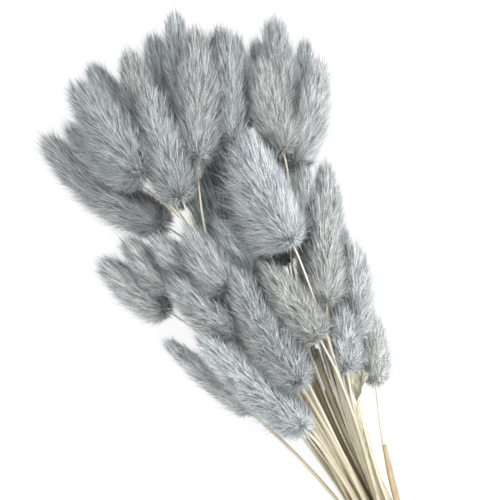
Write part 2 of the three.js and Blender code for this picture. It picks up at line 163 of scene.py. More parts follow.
# The two layers of hair: how many hairs a wisp has, their reach, tone and its change, how far they
# spread at roots and tips, how far they stand out as shares of the radius, and the share of long
# single hairs. The undercoat's low tone is painted shade deep in the fur. The fades go with a
# hair's points and are painted shade, darker towards the root
TOPCOAT = {
    "each": 3,
    "reach": 1.1,
    "tone": 1.07,
    "wisp_change": 0.20,
    "hair_change": 0.42,
    "root_spread": 1.1 * MM,
    "tip_spread": 0.40 * MM,
    "tip_run": 1.6 * MM,
    "stand": (0.72, 1.26),
    "far": 0.20,
}
TOPCOAT_FADE = (0.90, 0.90, 1.10)
UNDERCOAT = {
    "each": 3,
    "reach": 0.9,
    "tone": 0.50,
    "wisp_change": 0.12,
    "hair_change": 0.22,
    "root_spread": 1.0 * MM,
    "tip_spread": 0.8 * MM,
    "tip_run": 1.5 * MM,
    "stand": (0.70, 0.96),
    "far": 0.0,
}
UNDERCOAT_FADE = (0.75, 0.75, 1.05)
UNDERCOAT_ROOT = 0.55
UNDERCOAT_WIDTH = 1.3

# Fur colours
COOL = np.array([0.62, 0.67, 0.685])
WARM = np.array([0.66, 0.67, 0.65])
LILAC = np.array([0.61, 0.67, 0.72])
GLINT = np.array([0.68, 0.675, 0.655])
GLINT_FROM = 0.9
GLINT_MOST = 0.8
WARM_MOST = 0.35
WARM_HEADS = {5: 0.6, 9: 0.4, 14: 0.6, 21: 0.6, 24: 0.5, 27: 0.7}
LILAC_HEADS = {18: 0.8, 25: 0.6, 28: 0.3, 31: 0.7, 32: 0.4, 36: 0.6}

# How light fur is, by its head and its place along the bunch, with painted shade on the hidden
# heads, on the core and on the sides that face down
HEAD_TONES = {
    17: 1.06, 18: 1.12, 23: 1.06, 24: 1.06, 26: 1.06, 27: 0.93, 28: 0.93,
    # Hidden heads 44 and 45 are darker as painted shade
    31: 1.06, 32: 1.12, 33: 1.04, 44: 0.70, 45: 0.70,
}
HEAD_CHANGE = (0.94, 1.06)
HIDDEN_PAINTED_SHADE = 0.95
FUR_TONE = 1.17
TONE_LIMITS = (0.3, 1.5)
CORE_PAINTED_SHADE = 0.8
PAINTED_SIDE_SHADE = 0.82
PAINTED_SIDE_FROM = -0.4
PALE_FROM = 0.195
PALE_RISE = 1.4

# Painted shade: hairs are dark at their roots, except round the neck
ROOT_PAINTED_SHADE = 0.46
NECK_PAINTED_SHADE = 0.95
NECK_LENGTH = 2.5 * MM

# Painted shade: hairs and stems are darker beside and under the fur of other heads, by distances
# in radii
PAINTED_SHADE_DEEPEST = 0.22
CROWD_REACH = 1.6
CROWD_MARGIN = 20 * MM
CROWD_BELOW = 0.75
CROWD_BESIDE = 0.65
CROWD_POWER = 1.4
CROWD_DEPTH = 0.9
CROWD_PLACES = np.linspace(0.1, 0.9, 7)

# Hairs shade mostly as the head's surface would, tilted a little towards its tip
SOFT_NORMAL = 0.6
SOFT_LEAN = 0.25

# The fur's material
HAIR_GLOW = 0.4
HAIR_MOTTLE = 0.7 * MM
HAIR_SHADES = (0.86, 1.14)
FUR_PATCH = 6 * MM
PATCH_SHADES = (0.92, 1.08)
FUR_GLOSS = 0.25
FUR_ROUGHNESS = (0.75, 0.95)
FUR_RELIEF = 0.02 * MM

# The materials of dry fibre, with streaks that are long along the grain
FIBRE_GLOSS = 0.4
FIBRE_ROUGHNESS = (-0.1, 0.12)
FINE_GRAIN = 60
FINE_CONTRAST = (1, 0.4)
BROAD_GRAIN = 110
BROAD_WIDTH = 5
BROAD_CONTRAST = (0.5, 0.3)
NOISE_RANGE = (0.3, 0.7)
BUMP_STRENGTH = 0.6

# How the stems are traced through their strands
PARTED_Y = TIE_Y + 0.036
TIED_HALF = 0.015
TIED_PITCH = 0.8 * MM
CUT_LENGTH = 0.1
CUT_FLARE = 0.4
CUT_RAGGED = 5
TRACE_STEP = 2.0 * MM
TRACE_END = 0.5 * MM
FOLLOW_LIMIT = 1.1 * MM
NECK_REACH = 6 * MM
NECK_POINTS = 3

# Stems, by distances above the tie
STEM_SIDES = 7
STEM_LOW = 0.84 * MM
STEM_HIGH = 0.58 * MM
STEM_THINNING = 0.22
STEM_SIZES = (0.74, 1.0)
SHEATH_CHANCE = 0.6
SHEATH_ENDS = (0.02, 0.13)
SHEATH_EXTRA = 0.28 * MM
JOINTS = np.array([-0.05, 0.035, 0.125])
JOINT_SHIFT = 0.02
JOINT_LENGTH = 2.2 * MM
JOINT_SWELL = 0.16
JOINT_DARK = 0.30

# Stem colours, which are white where the sheaf is open, with painted shade that is brown deep in
# the sheaf and weaker where it is open
STRAW_WHITE = np.array([0.84, 0.80, 0.69])
STRAW_PALE = np.array([0.83, 0.77, 0.61])
STRAW_GOLD = np.array([0.73, 0.63, 0.41])
STRAW_DULL = np.array([0.69, 0.63, 0.46])
STRAW_PALES = (0.25, 1.0)
STRAW_CHANGE = (0.88, 1.06)
SHEATH_CHANGE = (0.85, 1.05)
WHITE_FROM = 0.05
WHITE_OVER = 0.05
LOW_TONE = 0.90
TONE_RISE = 0.16
DEEP_SHADE = np.array([0.60, 0.49, 0.31])
PAINTED_SHADE_BROWNING = np.array([0.2, 0.45, 0.95])
OPEN_FROM = 0.10
OPEN_OVER = 0.05
OPEN_RELIEF = 0.6

# Bare stems, each in the widest of several gaps between two stems that carry heads
BARE_STEMS = 66
BARE_CHOICES = 16
BARE_APART = 9.5 * MM
BARE_ENDS = (0.06, 0.17)
BARE_PLACES = (0.3, 0.7)
BARE_SIZES = (0.8, 1.15)
BARE_DARK = 0.7

# The leaf, as place along it, width across when flat, degrees of curl and degrees of twist
LEAF_FORM = (
    (0.00, 5.0 * MM, 300, 0),
    (0.30, 7.0 * MM, 280, 0),
    (0.62, 8.0 * MM, 220, 10),
    (0.76, 5.5 * MM, 160, 60),
    (0.88, 8.5 * MM, 115, 120),
    (1.00, 10.0 * MM, 85, 142),
)
LEAF_STEP = 1 * MM
LEAF_MARGIN = 0.5 * MM
LEAF_COLUMNS = 25
LEAF_THICKNESS = 0.12 * MM
LEAF_SHEATH = np.array([0.66, 0.62, 0.49])
LEAF_BLADE = np.array([0.70, 0.68, 0.55])
BLADE_FROM = 0.7
BLADE_OVER = 0.15

# The leaf's crumple, blotches and torn end, with the waves across and along it
LEAF_CRUMPLE = 0.5 * MM
LOOSE_FROM = 0.35
LOOSE_OVER = 0.5
HEAVE_WAVES = (1.6, 2.2)
SWAY_WAVES = (1.2, 2.5)
BLOTCH_WAVES = (2, 3)
BLOTCH_TONE = 0.07
LEAF_TEAR = 5 * MM
TEAR_WAVE = 0.9
TEAR_FROM = 0.9
TEAR_OVER = 0.1
EDGE_FROM = 0.88
EDGE_OVER = 0.12
EDGE_DARK = 0.25
END_FROM = 0.97
END_OVER = 0.03
END_DARK = 0.2

# The raffia, its turns round the stems and its two tails
RAFFIA_WIDTH = 3.2 * MM
RAFFIA_THICKNESS = 0.25 * MM
RAFFIA_COLUMNS = 7
RAFFIA_TINT = np.array([0.54, 0.42, 0.25])
RAFFIA_CHANGE = (0.9, 1.08)
RAFFIA_CURL = (0.7, 1.3)
RAFFIA_TAPER = 0.35
TAPER_FROM = 0.8
TAPER_OVER = 0.2
WIDTH_WAVE = 0.06
WIDTH_WAVES = (20, 40)
TINT_WAVE = 0.05
TINT_WAVES = 31
TIE_BAND = 5.4 * MM
TIE_RADIUS = 10.3 * MM
TIED_RADIUS = 8.6 * MM
TURNS = 6
TURN_POINTS = 72
TURN_START = 0.7
TURN_SLANT = 0.8 * MM
TURN_LOOSENESS = 0.7 * MM
TAIL_WIDTH = 3.0 * MM
TAIL_FROM = 4 * MM
TAIL_MARGIN = 1 * MM
TAIL_STEP = 2 * MM
TAIL_FACING = (0.15, 0.0, 1.0)

# The knot, of two leaning loops
KNOT_RISE = 0.2 * MM
KNOT_ARCH = 0.8 * MM
LOOP_LEANS = (-0.5, 0.35)
LOOP_POINTS = 40
LOOP_HALF_WIDTH = 1.6 * MM
LOOP_HALF_LENGTH = TIE_BAND - 0.5 * MM
LOOP_BEND = 1.2 * MM
LOOP_STRIP = 2.6 * MM
LOOP_FACING = (0.1, 0.0, 1.0)

# Where each random series starts
FUR_SEED = 1000
STEM_SEED = 77
BARE_SEED = 78
LEAF_SEED = 79
TIE_SEED = 80


def unit(vectors):
    """The vectors made one long."""
    return vectors / np.maximum(np.linalg.norm(vectors, axis=-1, keepdims=True), 1e-12)


def ramp(values, start, length):
    """0 up to the start, rising evenly to 1 over the length, and 1 beyond it."""
    return np.clip((values - start) / length, 0, 1)


def mesh_points(node):
    """The corners of a CAD node's mesh, as an array."""
    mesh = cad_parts[node].data
    points = np.zeros(len(mesh.vertices) * 3, np.float32)
    mesh.vertices.foreach_get("co", points)
    return points.reshape(-1, 3).astype(float)


def stacked(parts):
    """Several meshes as one, each given as points, triangles and two more arrays by point."""
    points, triangles, *others = zip(*parts)
    starts = np.cumsum([0] + [len(block) for block in points[:-1]])
    triangles = [block + start for block, start in zip(triangles, starts)]
    return [np.concatenate(blocks) for blocks in (points, triangles, *others)]


def new_object(name, points, triangles, material, colours, normals=None, grain=None):
    """A mesh object made from arrays, with a colour and maybe a normal or grain at each corner."""
    mesh = bpy.data.meshes.new(name)
    mesh.vertices.add(len(points))
    mesh.vertices.foreach_set("co", points.astype(np.float32).ravel())
    mesh.loops.add(triangles.size)
    mesh.loops.foreach_set("vertex_index", triangles.astype(np.int32).ravel())
    mesh.polygons.add(len(triangles))
    mesh.polygons.foreach_set("loop_start", np.arange(0, triangles.size, 3, dtype=np.int32))
    mesh.update(calc_edges=True)
    tint = mesh.color_attributes.new("tint", "FLOAT_COLOR", "POINT")
    shades = np.concatenate([colours, np.ones((len(colours), 1))], 1)
    tint.data.foreach_set("color", shades.astype(np.float32).ravel())
    if grain is not None:
        places = mesh.attributes.new("grain", "FLOAT_VECTOR", "POINT")
        places.data.foreach_set("vector", grain.astype(np.float32).ravel())
    mesh.shade_smooth()
    if normals is not None:
        mesh.normals_split_custom_set_from_vertices(normals.tolist())
    mesh.materials.append(material)
    piece = bpy.data.objects.new(name, mesh)
    bpy.context.scene.collection.objects.link(piece)
    return piece


def grid_triangles(rows, columns, wrapped):
    """Two triangles for each cell of a grid of points, whose last column may meet its first."""
    row = np.arange(rows - 1)[:, None] * columns
    column = np.arange(columns if wrapped else columns - 1)[None]
    here = row + column
    beside = row + (column + 1) % columns
    lower = np.stack([here, beside, beside + columns], -1)
    upper = np.stack([here, beside + columns, here + columns], -1)
    return np.concatenate([lower.reshape(-1, 3), upper.reshape(-1, 3)])


class Head:
    """A head's bowed axis and fur radius, read from its solid."""

    def __init__(self, node):
        points = mesh_points(node)
        middle = points.mean(0)
        along = np.linalg.svd(points - middle, full_matrices=False)[2][0]
        along *= np.sign(along[1])
        reach = (points - middle) @ along
        share = (reach - reach.min()) / np.ptp(reach)
        basis = np.stack([np.ones_like(share), share, share**2], 1)
        self.curve = np.linalg.lstsq(basis, points, rcond=None)[0]
        off = points - basis @ self.curve
        self.length = np.ptp(reach)
        self.radius = np.linalg.norm(off, axis=1).max() / SOLID_SHARE
        self.middle = self.axis(np.array(0.5))

    def axis(self, share):
        """Places on the bowed axis."""
        return np.stack([np.ones_like(share), share, share**2], -1) @ self.curve

    def around(self, share, angle):
        """The way out of the axis, and the way along it."""
        ones = np.ones_like(share)
        along = unit(np.stack([0 * ones, ones, 2 * share], -1) @ self.curve)
        side = unit(np.cross(along, [0, 0, 1]))
        up = np.cross(side, along)
        out = side * np.cos(angle)[..., None] + up * np.sin(angle)[..., None]
        return out, along

    def at(self, share, angle, radius):
        """Places round the axis."""
        out, _ = self.around(share, angle)
        return self.axis(share) + out * radius[..., None]


def profile(share):
    """Share of the full radius at a share of the length, with a round base and a slimmer tip."""
    inside = np.clip(share, *FORM_LIMITS)
    return np.sin(np.pi * inside**FORM_LEAN) ** FORM_FULLNESS


def waves(random, angle, share, least, most):
    """A smooth random field over a skin, from about -1 to 1, of least to most waves a turn."""
    total = np.zeros_like(angle)
    for _ in range(WAVE_COUNT):
        turns = random.integers(least, most + 1)
        runs = random.uniform(-most, most) * WAVE_RUNS
        total += np.sin(turns * angle + runs * 2 * np.pi * share + random.uniform(0, 2 * np.pi))
    return total / WAVE_HEIGHT


def painted_crowd_shade(points, own, heads):
    """A painted-shade factor, from the deepest painted shade up to 1, for how much light would
    reach points near the fur of other heads.
    """
    deep = np.zeros(len(points))
    middle = points.mean(0)
    size = np.ptp(points, axis=0).max()
    for other in heads:
        reach = (other.length + size) / 2 + CROWD_MARGIN
        if other is own or np.linalg.norm(other.middle - middle) > reach:
            continue
        for place in other.axis(CROWD_PLACES):
            away = np.linalg.norm(points - place, axis=1) / other.radius
            below = (place[2] - points[:, 2]) / other.radius
            near = np.clip((CROWD_REACH - away) / (CROWD_REACH - 1), 0, 1)
            deep = np.maximum(deep, near * np.clip(CROWD_BELOW * below + CROWD_BESIDE, 0, 1))
    return 1 - (1 - PAINTED_SHADE_DEEPEST) * deep**CROWD_POWER


def lay_wisps(random, head, look, layer):
    """Where a layer's wisps end and start along and round a head, and how each differs."""
    count = layer["wisps"]
    order = (np.arange(count) + random.uniform(0, 1, count)) / count
    grid = np.linspace(0, 1, FORM_STEPS)
    covered = np.cumsum(profile(grid) + END_COVER)
    end = np.interp(order, covered / covered[-1], grid) * (1 + BEHIND_NECK) - BEHIND_NECK
    angle = np.arange(count) * GOLDEN_ANGLE + random.normal(0, WISP_SCATTER, count)

    lift = 1 + WISP_LIFT * waves(random, angle, end, 2, 5)
    swirl = WISP_SWIRL * waves(random, angle, end, 1, 4) + random.normal(0, WISP_TURN, count)
    reach = look["reach"] * layer["reach"] / head.length * random.uniform(*WISP_REACHES, count)
    root = np.maximum(end - reach, WISP_ROOT + WISP_ROOT_RISE * np.maximum(end, 0))

    tone = layer["tone"] * (1 + WISP_MOTTLE * waves(random, angle, end, 2, 6))
    tone *= np.exp(random.normal(0, layer["wisp_change"], count))
    # Painted shade where a wisp ends beside or under another head's fur
    ends = head.at(end, angle, head.radius * profile(end) * CROWD_DEPTH)
    tone *= painted_crowd_shade(ends, head, look["heads"])
    warmth = np.clip(look["warmth"] + random.normal(0, WISP_WARMTH, count), 0, 1)
    return {
        "root": root,
        "end": end,
        "angle": angle,
        "root_angle": angle - swirl,
        "lift": lift,
        "tone": tone,
        "warmth": warmth,
    }


def hair_lines(random, head, look, layer):
    """A layer's hairs: where each starts, bends and ends, its width, its facing and its colour."""
    wisps = lay_wisps(random, head, look, layer)
    wisp = {name: np.repeat(values, layer["each"]) for name, values in wisps.items()}
    count = len(wisp["end"])
    length = head.length
    radius = head.radius
    root_spread = layer["root_spread"]

    root_share = wisp["root"] + random.normal(0, root_spread / length, count)
    root_angle = wisp["root_angle"] + random.normal(0, root_spread / radius, count)
    end_share = wisp["end"] + random.normal(0, layer["tip_run"] / length, count)
    end_angle = wisp["angle"] + random.normal(0, layer["tip_spread"] / radius, count)
    stand = wisp["lift"] * random.uniform(*layer["stand"], count) * look["fluff"]
    outward, along = head.around(end_share, end_angle)
    fanned = outward @ FAN_WAY
    stand = stand * (1 + look["fan"] * fanned)

    # Long single hairs
    astray = np.clip(fanned, 0, 1)
    far = random.random(count) < layer["far"] + look["stray"] * astray
    far &= layer["far"] > 0
    least, most = FAR_STAND
    stand[far] += random.uniform(least, most + look["stray_reach"] * astray[far])
    end_share[far] += random.uniform(0.0, FAR_RUN, far.sum())

    # Three points on each hair, with the last hairs drawn out into a tuft
    root_share = np.clip(root_share, *ROOT_LIMITS)
    root = head.at(root_share, root_angle, ROOT_SHARE * radius * profile(root_share))
    end_radius = radius * profile((end_share + BEHIND_NECK + END_SHIFT) / FORM_STRETCH) * stand
    near_tip = ramp(end_share, TIP_FROM, TIP_OVER)
    end_share += TIP_TUFT / length * near_tip * random.uniform(0, 1, count) ** 2
    end_radius *= 1 + near_tip * random.uniform(*TIP_NARROWING, count)
    end = head.at(end_share, end_angle, end_radius)
    bend_share = (1 - BEND_PLACE) * root_share + BEND_PLACE * end_share
    bend_radius = BEND_RADIUS * radius * profile(bend_share) * stand
    bend = head.at(bend_share, 0.5 * (root_angle + end_angle), bend_radius)
    for line in (root, bend, end):
        line[:, 2] = np.clip(line[:, 2], FLOOR_CLEAR, HAIR_TOP)

    # Painted shade on the sides and undersides of a head, where hairs point sideways or down
    side = PAINTED_SIDE_SHADE + (1 - PAINTED_SIDE_SHADE) * ramp(outward[:, 2], PAINTED_SIDE_FROM, 1)
    shade = wisp["tone"] * np.exp(random.normal(0, layer["hair_change"], count))
    shade = FUR_TONE * np.clip(shade, *TONE_LIMITS) * side * look["tone"]
    tint = look["tint"] + (WARM - look["tint"]) * wisp["warmth"][:, None]
    tint += (GLINT - tint) * np.clip(shade / FUR_TONE - GLINT_FROM, 0, GLINT_MOST)[:, None]
    # Painted shade at the roots, with less of it round the neck
    neck = np.exp(-root_share * length / NECK_LENGTH)

    width = HAIR_WIDTH * random.uniform(*HAIR_WIDTHS, count) * np.where(far, FAR_WIDTH, 1)
    aside = np.cross(along, outward) * random.normal(0, HAIR_ROLL, count)[:, None]
    roll = unit(outward + aside)
    soft = unit(outward + SOFT_LEAN * along)
    return {
        "root": root,
        "bend": bend,
        "end": end,
        "width": width,
        "roll": roll,
        "normal": unit(soft * SOFT_NORMAL + roll * (1 - SOFT_NORMAL)),
        "colour": shade[:, None] * tint,
        "root_painted_shade": ROOT_PAINTED_SHADE + (NECK_PAINTED_SHADE - ROOT_PAINTED_SHADE) * neck,
    }


def half_widths(root, end, width, roll):
    """The way across each hair, half its width long."""
    return unit(np.cross(unit(end - root), roll)) * width[:, None] / 2


def painted(points, triangles, hairs, fades):
    """A layer's mesh, with each hair's colour faded at its points and one normal for them all."""
    colours = hairs["colour"][:, None, :] * fades[..., None]
    normals = np.repeat(hairs["normal"], points.shape[1], 0)
    return points.reshape(-1, 3), triangles, colours.reshape(-1, 3), normals


def topcoat(random, head, look, count):
    """Bent hairs that narrow to both ends, each of four points and two triangles."""
    layer = dict(TOPCOAT, wisps=int(count * TOP_SHARE / TOPCOAT["each"]))
    hairs = hair_lines(random, head, look, layer)
    root, bend, end = hairs["root"], hairs["bend"], hairs["end"]
    wide = half_widths(root, end, hairs["width"], hairs["roll"])

    # The widest place is halfway along the curve that the bend pulls out
    middle = 0.25 * root + 0.5 * bend + 0.25 * end
    points = np.stack([root, middle - wide, middle + wide, end], 1)
    corners = np.array([[0, 2, 1], [1, 2, 3]])
    triangles = (np.arange(len(root))[:, None, None] * 4 + corners).reshape(-1, 3)
    root_painted_shade = hairs["root_painted_shade"]
    # Painted shade: each hair is darkest at its root and lightest at its tip
    fades = np.stack([root_painted_shade, *(tone * np.ones_like(root_painted_shade) for tone in TOPCOAT_FADE)], 1)
    return painted(points, triangles, hairs, fades)


def undercoat(random, head, look, count):
    """Straight hairs, darker as painted shade deep in the fur, that narrow to their ends, each one
    triangle.
    """
    layer = dict(UNDERCOAT, wisps=int(count * (1 - TOP_SHARE) / UNDERCOAT["each"]))
    hairs = hair_lines(random, head, look, layer)
    root = (1 - UNDERCOAT_ROOT) * hairs["root"] + UNDERCOAT_ROOT * hairs["bend"]
    root[:, 2] = np.maximum(root[:, 2], FLOOR_CLEAR)
    wide = half_widths(root, hairs["end"], hairs["width"] * UNDERCOAT_WIDTH, hairs["roll"])
    points = np.stack([root - wide, root + wide, hairs["end"]], 1)
    triangles = np.arange(len(root) * 3).reshape(-1, 3)
    return painted(points, triangles, hairs, np.array([UNDERCOAT_FADE]))


def core(head):
    """A plain closed body under the fur, darkened as painted shade."""
    around = np.arange(CORE_SIDES)
    share = np.repeat(np.linspace(*CORE_ENDS, CORE_RINGS), CORE_SIDES)
    angle = np.tile(around * 2 * np.pi / CORE_SIDES, CORE_RINGS)
    skin = head.at(share, angle, CORE_SHARE * head.radius * profile(share * FORM_STRETCH))
    skin[:, 2] = np.maximum(skin[:, 2], FLOOR_CLEAR)
    points = np.concatenate([skin, head.axis(np.array(CORE_POLES))])

    following = (around + 1) % CORE_SIDES
    last = (CORE_RINGS - 1) * CORE_SIDES
    pole = np.full(CORE_SIDES, CORE_RINGS * CORE_SIDES)
    base = np.stack([pole, following, around], 1)
    top = np.stack([pole + 1, last + around, last + following], 1)
    triangles = np.concatenate([grid_triangles(CORE_RINGS, CORE_SIDES, True), base, top])
    # Painted shade: the core is darker, as deep in the fur
    colours = np.ones((len(points), 1)) * COOL * CORE_PAINTED_SHADE
    return points, triangles, colours, unit(points - head.middle)


def fur(number, heads, material, hairs):
    """One head's fur: a topcoat of bent wisps, an undercoat of straight hairs darkened as painted
    shade, and a core.
    """
    random = np.random.default_rng(FUR_SEED + number)
    head = heads[number]
    above_tie = head.middle[1] - TIE_Y
    low = ramp(SHORT_FROM - above_tie, 0, SHORT_OVER)
    fluff = FLUFF.get(number, 1)
    lilac = LILAC_HEADS.get(number, 0)
    # Hidden heads are a little darker, as painted shade
    tone = HEAD_TONES.get(number, HIDDEN_PAINTED_SHADE if number >= HIDDEN_FIRST else 1)
    look = {
        "heads": heads.values(),
        "fluff": fluff * (1 + TOP_FLUFF * ramp(head.middle[2], FLUFF_FROM, FLUFF_OVER)),
        "reach": HAIR_REACH * fluff**FLUFF_LENGTH * (1 - SHORT_HAIR * low),
        "warmth": WARM_HEADS.get(number, WARM_MOST * random.random() * (1 - lilac)),
        "tint": (COOL + (LILAC - COOL) * lilac) * random.uniform(*HEAD_CHANGE),
        "tone": tone * (1 + PALE_RISE * (PALE_FROM - above_tie)),
        **(FAN if number == FAN_HEAD else NO_FAN),
    }
    coats = [coat(random, head, look, hairs) for coat in (topcoat, undercoat)]
    points, triangles, colours, normals = stacked([*coats, core(head)])
    name = f"fur_{number:02d}"
    return new_object(name, points, triangles, material, colours, normals=normals)


class Shading:
    """A material whose colour is the mesh's own tint, varied by noise."""

    def __init__(self, name, gloss):
        self.material = bpy.data.materials.new(name)
        self.material.use_nodes = True
        self.nodes = self.material.node_tree.nodes
        self.links = self.material.node_tree.links
        self.shader = self.nodes["Principled BSDF"]
        self.shader.inputs["Specular IOR Level"].default_value = gloss
        tint = self.nodes.new("ShaderNodeVertexColor")
        tint.layer_name = "tint"
        self.colour = tint.outputs["Color"]

    def noise(self, places, scale, detail=3):
        """Noise over places, stretched by a scale for each direction."""
        stretch = self.nodes.new("ShaderNodeMapping")
        stretch.inputs["Scale"].default_value = scale
        noise = self.nodes.new("ShaderNodeTexNoise")
        noise.inputs["Scale"].default_value = 1
        noise.inputs["Detail"].default_value = detail
        self.links.new(places, stretch.inputs["Vector"])
        self.links.new(stretch.outputs["Vector"], noise.inputs["Vector"])
        return noise.outputs["Fac"]

    def ranged(self, value, low, high):
        """Noise brought into a range."""
        node = self.nodes.new("ShaderNodeMapRange")
        node.inputs["From Min"].default_value = NOISE_RANGE[0]
        node.inputs["From Max"].default_value = NOISE_RANGE[1]
        node.inputs["To Min"].default_value = low
        node.inputs["To Max"].default_value = high
        self.links.new(value, node.inputs["Value"])
        return node.outputs["Result"]

    def shade(self, value, low, high):
        """Makes the colour darker where the value is low and lighter where it is high."""
        node = self.nodes.new("ShaderNodeVectorMath")
        node.operation = "MULTIPLY"
        self.links.new(self.colour, node.inputs[0])
        self.links.new(self.ranged(value, low, high), node.inputs[1])
        self.colour = node.outputs["Vector"]

    def let_through(self, share):
        """Lets a share of the light through from behind, as thin hairs do."""
        glow = self.nodes.new("ShaderNodeBsdfTranslucent")
        mix = self.nodes.new("ShaderNodeMixShader")
        mix.inputs[0].default_value = share
        self.links.new(self.colour, glow.inputs["Color"])
        self.links.new(self.shader.outputs["BSDF"], mix.inputs[1])
        self.links.new(glow.outputs["BSDF"], mix.inputs[2])
        self.links.new(mix.outputs["Shader"], self.nodes["Material Output"].inputs["Surface"])

    def finish(self, value, rough_low, rough_high, relief):
        """Joins the colour, the roughness and the relief to the shader."""
        self.links.new(self.colour, self.shader.inputs["Base Color"])
        roughness = self.ranged(value, rough_low, rough_high)
        self.links.new(roughness, self.shader.inputs["Roughness"])
        bump = self.nodes.new("ShaderNodeBump")
        bump.inputs["Distance"].default_value = relief
        bump.inputs["Strength"].default_value = BUMP_STRENGTH
        self.links.new(value, bump.inputs["Height"])
        self.links.new(bump.outputs["Normal"], self.shader.inputs["Normal"])
        return self.material


def fur_material():
    """Soft hairs, mottled from one to the next and in patches."""
    look = Shading("fur", FUR_GLOSS)
    places = look.nodes.new("ShaderNodeTexCoord").outputs["Object"]
    fine = look.noise(places, (1 / HAIR_MOTTLE,) * 3)
    patches = look.noise(places, (1 / FUR_PATCH,) * 3, detail=2)
    look.shade(fine, *HAIR_SHADES)
    look.shade(patches, *PATCH_SHADES)
    look.let_through(HAIR_GLOW)
    return look.finish(fine, *FUR_ROUGHNESS, FUR_RELIEF)


def fibre_material(name, roughness, streak, contrast, relief):
    """Dry plant fibre: streaks and fine ridges that follow each piece's own grain."""
    look = Shading(name, FIBRE_GLOSS)
    grain = look.nodes.new("ShaderNodeAttribute")
    grain.attribute_name = "grain"
    places = grain.outputs["Vector"]
    wide = BROAD_WIDTH * streak
    fine = look.noise(places, (1 / streak, FINE_GRAIN, 1 / streak))
    broad = look.noise(places, (1 / wide, BROAD_GRAIN, 1 / wide))
    for value, (dark, light) in ((fine, FINE_CONTRAST), (broad, BROAD_CONTRAST)):
        look.shade(value, 1 - dark * contrast, 1 + light * contrast)
    return look.finish(fine, *(roughness + change for change in FIBRE_ROUGHNESS), relief)


def joined_mesh(node):
    """A CAD node's corners, with those in one place merged, and its triangles."""
    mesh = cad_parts[node].data
    mesh.calc_loop_triangles()
    corners = np.zeros(len(mesh.loop_triangles) * 3, np.int32)
    mesh.loop_triangles.foreach_get("vertices", corners)
    places, merged = np.unique(np.round(mesh_points(node), 7), axis=0, return_inverse=True)
    return places, merged.ravel()[corners.reshape(-1, 3)]


def cut_across(places, triangles, y):
    """The middle of each loop in which the plane at y cuts a mesh, and the middle of them all."""
    above = places[:, 1] > y
    sides = above[triangles]
    count = sides.sum(1)
    crossed = triangles[(count == 1) | (count == 2)]

    # Each crossed triangle has one corner alone on its side, with a cut edge to either other
    sides = above[crossed]
    lone = np.where((sides.sum(1) == 1)[:, None], sides, ~sides).argmax(1)
    rows = np.arange(len(crossed))
    apex = crossed[rows, lone]
    edges = []
    spots = []
    for turn in (1, 2):
        other = crossed[rows, (lone + turn) % 3]
        edges.append(np.sort(np.stack([apex, other], 1), 1))
        part = (y - places[apex, 1]) / (places[other, 1] - places[apex, 1])
        spots.append(places[apex] + part[:, None] * (places[other] - places[apex]))
    _, number = np.unique(np.concatenate(edges), axis=0, return_inverse=True)
    first, second = number.ravel()[:len(rows)], number.ravel()[len(rows):]

    # Edges that a loop joins come to share one label
    label = np.arange(number.max() + 1)
    while True:
        least = np.minimum(label[first], label[second])
        before = label.copy()
        np.minimum.at(label, first, least)
        np.minimum.at(label, second, least)
        if (label == before).all():
            break
    weight = np.linalg.norm(spots[0] - spots[1], axis=1)
    middle = (spots[0] + spots[1]) / 2
    loops = []
    for name in np.unique(label[first]):
        mine = label[first] == name
        loops.append((middle[mine] * weight[mine][:, None]).sum(0) / weight[mine].sum())
    ends = np.concatenate(spots)
    return np.array(loops), (ends.min(0) + ends.max(0)) / 2


def middle_line(node, start, end, step):
    """The middle of a node at even steps along Y."""
    places, triangles = joined_mesh(node)
    return np.array([cut_across(places, triangles, y)[1] for y in np.arange(start, end, step)])


def follow(going, found):
    """Adds to each line the loop nearest to where it was heading. Returns those that went on."""
    heading = np.array([2 * line[-1] - line[-2] if len(line) > 1 else line[-1] for line in going])
    gaps = np.linalg.norm(heading[:, None, [0, 2]] - found[None][..., [0, 2]], axis=2)
    lengthened = []
    for _ in range(min(gaps.shape)):
        index, loop = np.unravel_index(gaps.argmin(), gaps.shape)
        if gaps[index, loop] > FOLLOW_LIMIT:
            break
        going[index].append(found[loop])
        lengthened.append(going[index])
        gaps[index] = np.inf
        gaps[:, loop] = np.inf
    return lengthened


def trace_strand(node):
    """The middle line of each stem of a strand, from its cut end to its neck."""
    places, triangles = joined_mesh(node)
    found, centre = cut_across(places, triangles, PARTED_Y)
    lines = [[middle] for middle in found]
    going = list(lines)
    for y in np.arange(PARTED_Y + TRACE_STEP, places[:, 1].max(), TRACE_STEP):
        if not going:
            break
        loops, _ = cut_across(places, triangles, y)
        going = follow(going, loops)

    # Below that the stems touch, so they are placed round the strand's own middle
    offsets = found - centre
    tied = unit(offsets) * TIED_PITCH
    lower = []
    bottom = places[:, 1].min() + TRACE_END
    for y in np.arange(PARTED_Y - TRACE_STEP, bottom, -TRACE_STEP):
        _, middle = cut_across(places, triangles, y)
        parted = ramp(y, TIE_Y + TIED_HALF, PARTED_Y - TIE_Y - TIED_HALF)
        flared = ramp(TIE_Y - TIED_HALF - y, 0, CUT_LENGTH)
        lower.append(middle + (tied + (offsets - tied) * parted) * (1 + CUT_FLARE * flared))
    lower.reverse()
    return [np.array([ring[i] for ring in lower] + line) for i, line in enumerate(lines)]


def into_head(line):
    """The line with its end carried on into the fur."""
    ahead = unit(line[-1] - line[-4])
    reach = np.arange(1, NECK_POINTS + 1) * NECK_REACH / NECK_POINTS
    return np.concatenate([line, line[-1] + ahead * reach[:, None]])


def travelled(line):
    """How far along a line each of its points is."""
    steps = np.linalg.norm(np.diff(line, axis=0), axis=1)
    return np.concatenate([[0], np.cumsum(steps)])


